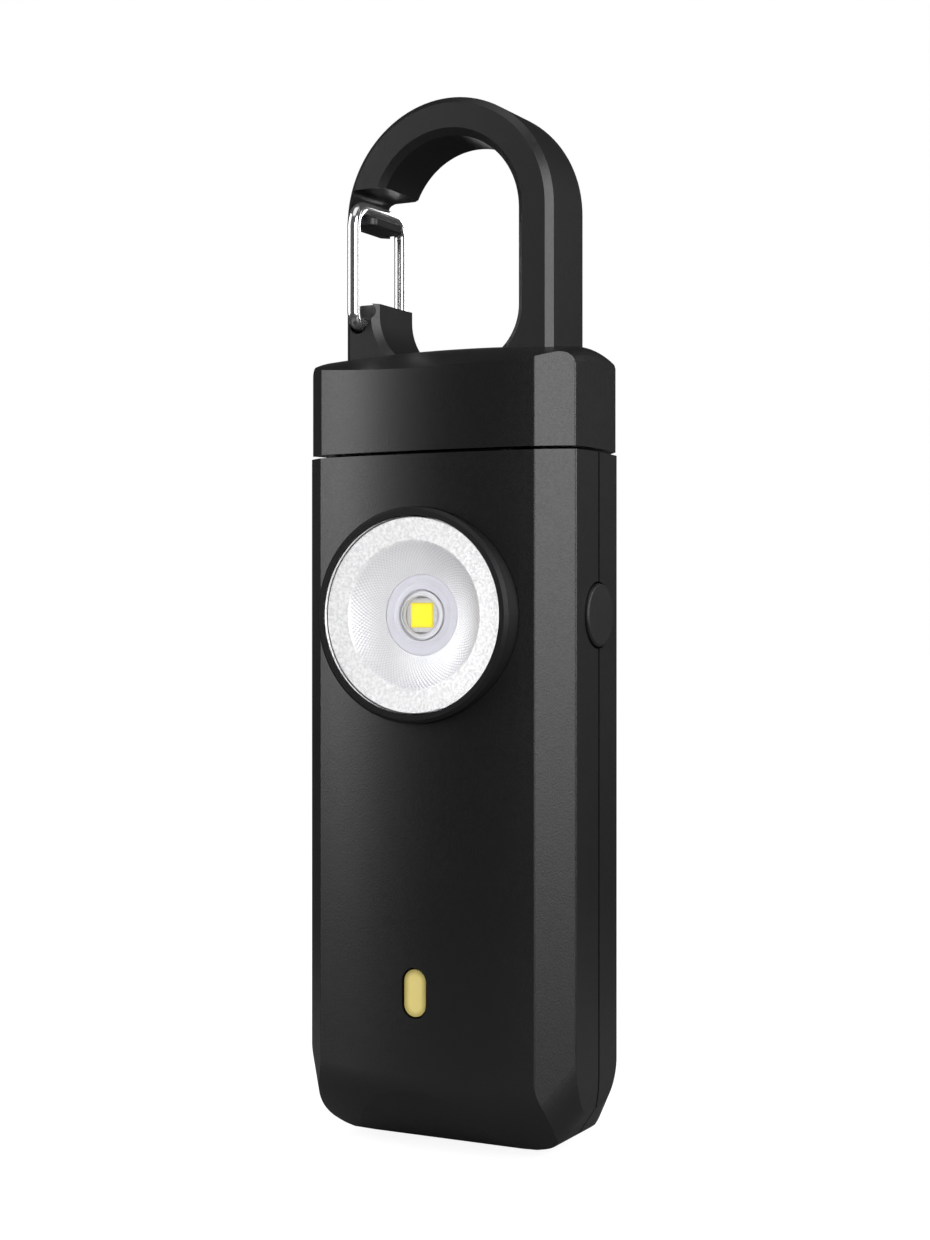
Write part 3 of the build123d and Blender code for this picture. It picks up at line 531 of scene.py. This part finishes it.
FINISHES = {
    "housing_black": moulded_black(),
    "bezel_black": bezel_black(),
    "button_black": button_black(),
    "screw_steel": screw_steel(),
    "clear_lens": clear_plastic(
        "lens_plastic", (0.995, 0.996, 0.998), ior=1.33, ripple=0.004, clear=1.0),
    "clear_dome": dome_silicone(),
    "satin_reflector": satin_reflector(),
    "led_package": package_white(),
    "yellow_phosphor": phosphor(),
    "white_board": solder_mask(
        "white_board", mask=(0.74, 0.74, 0.75), copper=(0.62, 0.60, 0.58), scale=700),
    "pin_metal": polished_steel(
        "pin_metal", (0.66, 0.65, 0.62), roughness=0.16, along=(900, 900, 120)),
    "amber_window": amber_window(),
    "switch_body": switch_body(),
    "green_board": solder_mask(
        "green_board", mask=(0.012, 0.115, 0.040), copper=(0.060, 0.230, 0.070), scale=900),
    "pouch_foil": pouch_foil(),
    "red_wire": insulation("red_wire", (0.52, 0.018, 0.014)),
    "black_wire": insulation("black_wire", (0.020, 0.020, 0.021)),
    "inner_plastic": inner_plastic(),
    "disc_brass": siren_metal(
        "disc_brass", light=(0.78, 0.55, 0.22), dark=(0.60, 0.40, 0.15),
        metallic=1.0, roughness=0.24),
    "ceramic_white": siren_metal(
        "ceramic_white", light=(0.80, 0.79, 0.74), dark=(0.66, 0.65, 0.61),
        metallic=0.5, roughness=0.36),
    "mesh_fabric": woven_mesh(),
    "coil_dark": wound_coil(),
    "chip_black": chip_package(),
    "port_steel": stamped_port(),
    "gate_chrome": polished_steel(
        "gate_chrome", (0.92, 0.92, 0.93), roughness=0.08, along=(700, 700, 90)),
}


def dress_nodes():
    """Gives every CAD node the finish of its material slot in the record."""
    for part in frame["record"]["subparts"]:
        mesh = nodes[part["node"]].data
        mesh.materials.clear()
        mesh.materials.append(FINISHES[part["material_slot"]])


dress_nodes()


# Modelling helpers

WELD = 0.0005 * MM
BEND_STEPS = 14
WIRE_SIDES = 28


def deselect():
    """Leaves edit mode, with nothing selected."""
    if bpy.context.object and bpy.context.object.mode != "OBJECT":
        bpy.ops.object.mode_set(mode="OBJECT")
    bpy.ops.object.select_all(action="DESELECT")


def close_mesh():
    """Welds doubled points, turns the faces outwards and leaves edit mode."""
    bpy.ops.mesh.select_all(action="SELECT")
    bpy.ops.mesh.remove_doubles(threshold=WELD)
    bpy.ops.mesh.normals_make_consistent(inside=False)
    bpy.ops.object.mode_set(mode="OBJECT")


def settle(name, finish, body, smooth, replaces):
    """Names the active piece, puts its origin at zero and hands it to its body."""
    bpy.ops.object.mode_set(mode="OBJECT")
    bpy.ops.object.transform_apply(location=True, rotation=True, scale=True)
    bpy.ops.object.shade_smooth_by_angle(angle=math.radians(smooth))
    piece = bpy.context.object
    piece.name = name
    piece.data.name = name
    piece.data.materials.clear()
    piece.data.materials.append(finish)
    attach(piece, body)
    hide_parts(*replaces)
    return piece


def start_point(place):
    """Begins a piece as one vertex, ready to be extruded along a profile."""
    deselect()
    bpy.ops.mesh.primitive_plane_add(size=MM, location=place)
    bpy.ops.object.mode_set(mode="EDIT")
    bpy.ops.mesh.select_all(action="SELECT")
    bpy.ops.mesh.merge(type="CENTER")


def turned_piece(profile, axis, steps=160):
    """Spins a profile of (radius, Y) points, in metres, round a line along Y."""
    closed = profile + profile[:1]
    start_point((axis.x + closed[0][0], closed[0][1], axis.z))
    for (r0, y0), (r1, y1) in zip(closed, closed[1:]):
        move = {"value": (r1 - r0, y1 - y0, 0)}
        bpy.ops.mesh.extrude_region_move(TRANSFORM_OT_translate=move)
    bpy.ops.mesh.select_all(action="SELECT")
    bpy.ops.mesh.spin(steps=steps, angle=TURN, center=tuple(axis), axis=(0, 1, 0))
    close_mesh()


def rounded_edges(width, segments, angle=30):
    """Softens the active piece's edges that are sharper than the angle."""
    bevel = bpy.context.object.modifiers.new("edge", "BEVEL")
    bevel.width, bevel.segments = width, segments
    bevel.limit_method, bevel.angle_limit = "ANGLE", math.radians(angle)
    bpy.ops.object.modifier_apply(modifier=bevel.name)


def arc_points(start, end, sag, count):
    """Points from start to end on an arc that stands off the chord by sag."""
    sx, sy = start
    ex, ey = end
    run, rise = ex - sx, ey - sy
    length = math.hypot(run, rise)
    out = (-rise / length, run / length)
    points = []
    for index in range(1, count + 1):
        t = index / count
        lift = 4 * sag * t * (1 - t)
        points.append((sx + run * t + out[0] * lift, sy + rise * t + out[1] * lift))
    return points


# Torch

def make_dish():
    """The satin reflector: rolled outer lip, stippled rim, faceted cone and its skirt."""
    low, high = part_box("reflector")
    outer = (high.x - low.x) / 2
    front, back = low.y, high.y
    foot_low, foot_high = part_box("collimator_ring")
    cone_foot = (foot_high.x - foot_low.x) / 2
    rim, thick = 7.6 * MM, 0.6 * MM
    lip_width, lip_depth = 0.12 * MM, 0.1 * MM
    land_width, land_depth = 0.5 * MM, 0.02 * MM
    edge_width, edge_depth = 0.1 * MM, 0.22 * MM
    cone_depth, cone_sag = 0.3 * MM, 0.16 * MM
    profile = [(outer, front + lip_depth), (outer - lip_width, front)]
    profile += [(outer - land_width, front + land_depth), (rim + edge_width, front + edge_depth)]
    profile += arc_points((rim, front + cone_depth), (cone_foot, foot_low.y), -cone_sag, count=10)
    profile += [(cone_foot, back), (cone_foot + thick, back)]
    profile += [(rim, front + cone_depth + thick)]
    profile += [(outer - thick, front + thick), (outer - thick, back), (outer, back)]
    turned_piece(profile, torch)
    settle("reflector_dish", FINISHES["satin_reflector"], "housing",
           smooth=24, replaces=["reflector"])


def make_clear_ring():
    """The lavender ring at the foot of the cone, with a raised round inner edge."""
    low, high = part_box("collimator_ring")
    outer, inner = (high.x - low.x) / 2, 2.57 * MM
    front, back = low.y, high.y
    chamfer, slope = 0.05 * MM, 0.35 * MM
    valley, valley_depth = inner + 0.75 * MM, 0.16 * MM
    crest, crest_depth = inner + 0.45 * MM, 0.04 * MM
    brow, brow_depth = inner + 0.12 * MM, 0.02 * MM
    profile = [(outer, back), (outer, front + chamfer), (outer - slope, front)]
    profile += [(valley, front + valley_depth), (crest, front + crest_depth)]
    profile += [(brow, front + brow_depth), (inner, front + valley_depth), (inner, back)]
    turned_piece(profile, torch)
    rounded_edges(0.06 * MM, 3)
    lavender = clear_plastic(
        "ring_plastic", (0.90, 0.895, 0.985), ior=1.45, ripple=0.010, clear=0.15)
    settle("collimator", lavender, "housing",
           smooth=50, replaces=["collimator_ring"])


def make_dome():
    """The moulded silicone dome with its narrow foot."""
    low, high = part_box("led_dome")
    edge = (high.x - low.x) / 2
    top, base = low.y, high.y
    shoulder = edge - 0.32 * MM
    foot_top, dome_base = base - 0.16 * MM, base - 0.2 * MM
    profile = [(0, base), (edge, base), (edge, foot_top), (shoulder, dome_base)]
    rows = 14
    for index in range(1, rows + 1):
        turn = math.pi / 2 * index / rows
        rise = (dome_base - top) * math.sin(turn)
        profile.append((max(shoulder * math.cos(turn), 0), dome_base - rise))
    turned_piece(profile, torch, steps=96)
    settle("dome_lens", FINISHES["clear_dome"], "housing",
           smooth=50, replaces=["led_dome"])


# Gate

def bent_wire(route, bends, radius):
    """Draws a round wire along straight runs and spins it round each bend."""
    deselect()
    start = route[0]
    first = (route[1] - route[0]).normalized()
    turn = first.to_track_quat("Z", "Y").to_euler()
    bpy.ops.mesh.primitive_circle_add(vertices=WIRE_SIDES, radius=radius, fill_type="NGON",
                                      location=start, rotation=turn)
    bpy.ops.object.transform_apply(location=True, rotation=True, scale=True)
    bpy.ops.object.mode_set(mode="EDIT")
    bpy.ops.mesh.select_all(action="SELECT")
    here = start
    for index in range(1, len(route)):
        before = (route[index] - route[index - 1]).normalized()
        if index == len(route) - 1:
            corner_room = 0
        else:
            after = (route[index + 1] - route[index]).normalized()
            angle = before.angle(after)
            corner_room = bends[index - 1] * math.tan(angle / 2)
        stop = route[index] - before * corner_room
        bpy.ops.mesh.extrude_region_move(TRANSFORM_OT_translate={"value": stop - here})
        here = stop
        if corner_room:
            axis = before.cross(after).normalized()
            centre = stop + axis.cross(before) * bends[index - 1]
            bpy.ops.mesh.spin(steps=BEND_STEPS, angle=-angle, center=tuple(centre),
                              axis=tuple(axis))
            here = route[index] + after * corner_room
    close_mesh()


def make_gate():
    """The polished wire gate: two feet, two legs and a crossbar."""
    low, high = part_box("gate_wire")
    radius = (high.x - low.x) / 2
    x, y = (low.x + high.x) / 2, (low.y + high.y) / 2
    leg = (high.y - low.y) / 2 - radius
    foot, pivot = 1.7 * MM, low.z + radius
    bar = high.z - radius
    foot_bend, bar_bend = 1.3 * MM, 2.2 * MM
    half = [Vector((x, -foot, pivot)), Vector((x, -leg, pivot)), Vector((x, -leg, bar))]
    route = half + [Vector((x, -point.y, point.z)) for point in reversed(half)]
    route = [point + Vector((0, y, 0)) for point in route]
    bent_wire(route, [foot_bend, bar_bend, bar_bend, foot_bend], radius)
    rounded_edges(0.15 * MM, 3, angle=60)
    return settle("gate", FINISHES["gate_chrome"], "gate",
                  smooth=40, replaces=["gate_wire"])


make_dish()
make_clear_ring()
make_dome()
gate = make_gate()


# Studio

# A way is a direction, and a place is in metres
VIEW_WAY = Vector((-0.46126, 0.88727, 0))
RIGHT_REAR_WAY = Vector((0.5, 0.866, 0))
LAMP_TARGET = Vector((0, 0, 0.055))
CAMERA_PLACE = (0.10092, -0.19194, 0.0553)
# The lens and sensor are in millimetres, as Blender counts them
CAMERA_LENS, SENSOR_WIDTH = 59.26, 36
NEAREST_SEEN, FARTHEST_SEEN = 0.01, 20
FLOOR_RADIUS, FLOOR_SIDES = 3.0, 96


def diffuse(tree, level):
    """Matt grey paper."""
    return tree.node("ShaderNodeBsdfDiffuse", {}, {"Color": (level, level, level, 1)})


def background(tree, strength):
    """White light from far away."""
    return tree.node("ShaderNodeBackground", {}, {"Color": WHITE, "Strength": strength})


def mixed(factor, first, second):
    """A shader between two shaders."""
    tree = first.tree
    return tree.node("ShaderNodeMixShader", {}, {0: factor, 1: first, 2: second})


def ray(tree, kind):
    """1 for rays of one kind, and 0 for all others."""
    return tree.node("ShaderNodeLightPath", {}, {}, f"Is {kind} Ray")


def seen_directly(tree):
    """1 for what the camera sees, through clear plastic too, and 0 otherwise."""
    return ray(tree, "Camera").most(ray(tree, "Transmission"))


def within_cone(tree, axis, outer, inner):
    """1 within the inner angle from an axis, 0 beyond the outer one, in degrees."""
    way = tree.node("ShaderNodeTexCoord", {}, {}, "Generated")
    settings, sockets = {"operation": "DOT_PRODUCT"}, {0: way, 1: axis}
    along = tree.node("ShaderNodeVectorMath", settings, sockets, "Value")
    return along.ramp(math.cos(math.radians(outer)), math.cos(math.radians(inner)))


def make_floor():
    """A pale floor that keeps the alarm's soft shadow."""
    deselect()
    bpy.ops.mesh.primitive_circle_add(vertices=FLOOR_SIDES, radius=FLOOR_RADIUS,
                                      fill_type="NGON", location=(0, 0, 0))
    floor = bpy.context.object
    floor.name = "floor"
    material = bpy.data.materials.new("floor_paper")
    tree = NodeTree(material)
    paper, far, pale = (diffuse(tree, level) for level in (0.18, 0.03, 0.9))
    white = tree.node("ShaderNodeEmission", {}, {"Color": WHITE, "Strength": 1.28})
    place = tree.node("ShaderNodeTexCoord", {}, {}, "Object")
    away = tree.node("ShaderNodeVectorMath", {"operation": "LENGTH"}, {0: place}, "Value")
    paper_ends, far_starts = 0.04, 0.16
    dimmed = away.ramp(paper_ends, far_starts) * ray(tree, "Glossy")
    lit = mixed(dimmed, paper, far)
    shadowed = mixed(0.3, white, pale)
    tree.end_with("ShaderNodeOutputMaterial", mixed(seen_directly(tree), lit, shadowed))
    floor.data.materials.append(material)


def make_world():
    """White when seen directly, and dark in gloss except behind the alarm."""
    world = bpy.data.worlds.new("studio")
    bpy.context.scene.world = world
    tree = NodeTree(world)
    dim, dark, white = (background(tree, strength) for strength in (0.45, 0.03, 1.0))
    paper = within_cone(tree, VIEW_WAY, outer=20, inner=7)
    rear = within_cone(tree, RIGHT_REAR_WAY, outer=50, inner=25)
    grey = mixed(rear * 0.03, dark, white)
    gloss = mixed(paper, grey, white)
    shed = mixed(ray(tree, "Glossy"), dim, gloss)
    tree.end_with("ShaderNodeOutputWorld", mixed(seen_directly(tree), shed, white))


def soft_box(name, azimuth, elevation, distance, width, height, power):
    """A rectangular lamp that faces the alarm. Azimuth 0 is in front and 90 on its right."""
    a, e = math.radians(azimuth), math.radians(elevation)
    way = Vector((math.sin(a) * math.cos(e), -math.cos(a) * math.cos(e), math.sin(e)))
    lamp = bpy.data.lights.new(name, "AREA")
    lamp.shape = "RECTANGLE"
    lamp.size, lamp.size_y, lamp.energy = width, height, power
    holder = bpy.data.objects.new(name, lamp)
    bpy.context.scene.collection.objects.link(holder)
    holder.location = LAMP_TARGET + way * distance
    holder.rotation_euler = way.to_track_quat("Z", "Y").to_euler()
    return holder


def light_only(holder, piece):
    """Keeps a lamp's light to one piece, as a small card beside it would."""
    chosen = bpy.data.collections.new(holder.name + "_light")
    chosen.objects.link(piece)
    holder.light_linking.receiver_collection = chosen
    holder.light_linking.blocker_collection = chosen


def make_lamps():
    """Boxes at both sides, above and behind, and a card that only the gate mirrors."""
    soft_box("right_soft_box", azimuth=68, elevation=7, distance=0.55,
             width=0.30, height=0.70, power=2.5)
    soft_box("left_soft_box", azimuth=-62, elevation=21, distance=0.55,
             width=0.29, height=0.55, power=1.4)
    soft_box("left_fill", azimuth=-38, elevation=18, distance=0.55,
             width=0.20, height=0.50, power=0.13)
    soft_box("top_soft_box", azimuth=10, elevation=72, distance=0.60,
             width=0.45, height=0.45, power=0.6)
    soft_box("near_soft_box", azimuth=41, elevation=6, distance=0.55,
             width=0.11, height=0.36, power=0.42)
    soft_box("rear_soft_box", azimuth=117, elevation=16, distance=0.60,
             width=0.22, height=0.40, power=1.2)
    card = soft_box("gate_card", azimuth=174, elevation=20, distance=0.50,
                    width=0.34, height=0.32, power=2.0)
    light_only(card, gate)


def make_camera():
    """The photograph's view, level and from the alarm's right."""
    camera = bpy.data.cameras.new("camera")
    camera.lens, camera.sensor_width = CAMERA_LENS, SENSOR_WIDTH
    camera.clip_start, camera.clip_end = NEAREST_SEEN, FARTHEST_SEEN
    holder = bpy.data.objects.new("camera", camera)
    bpy.context.scene.collection.objects.link(holder)
    holder.location = CAMERA_PLACE
    holder.rotation_euler = VIEW_WAY.to_track_quat("-Z", "Y").to_euler()
    bpy.context.scene.camera = holder


make_floor()
make_world()
make_lamps()
make_camera()
bpy.context.scene.view_settings.view_transform = "Standard"
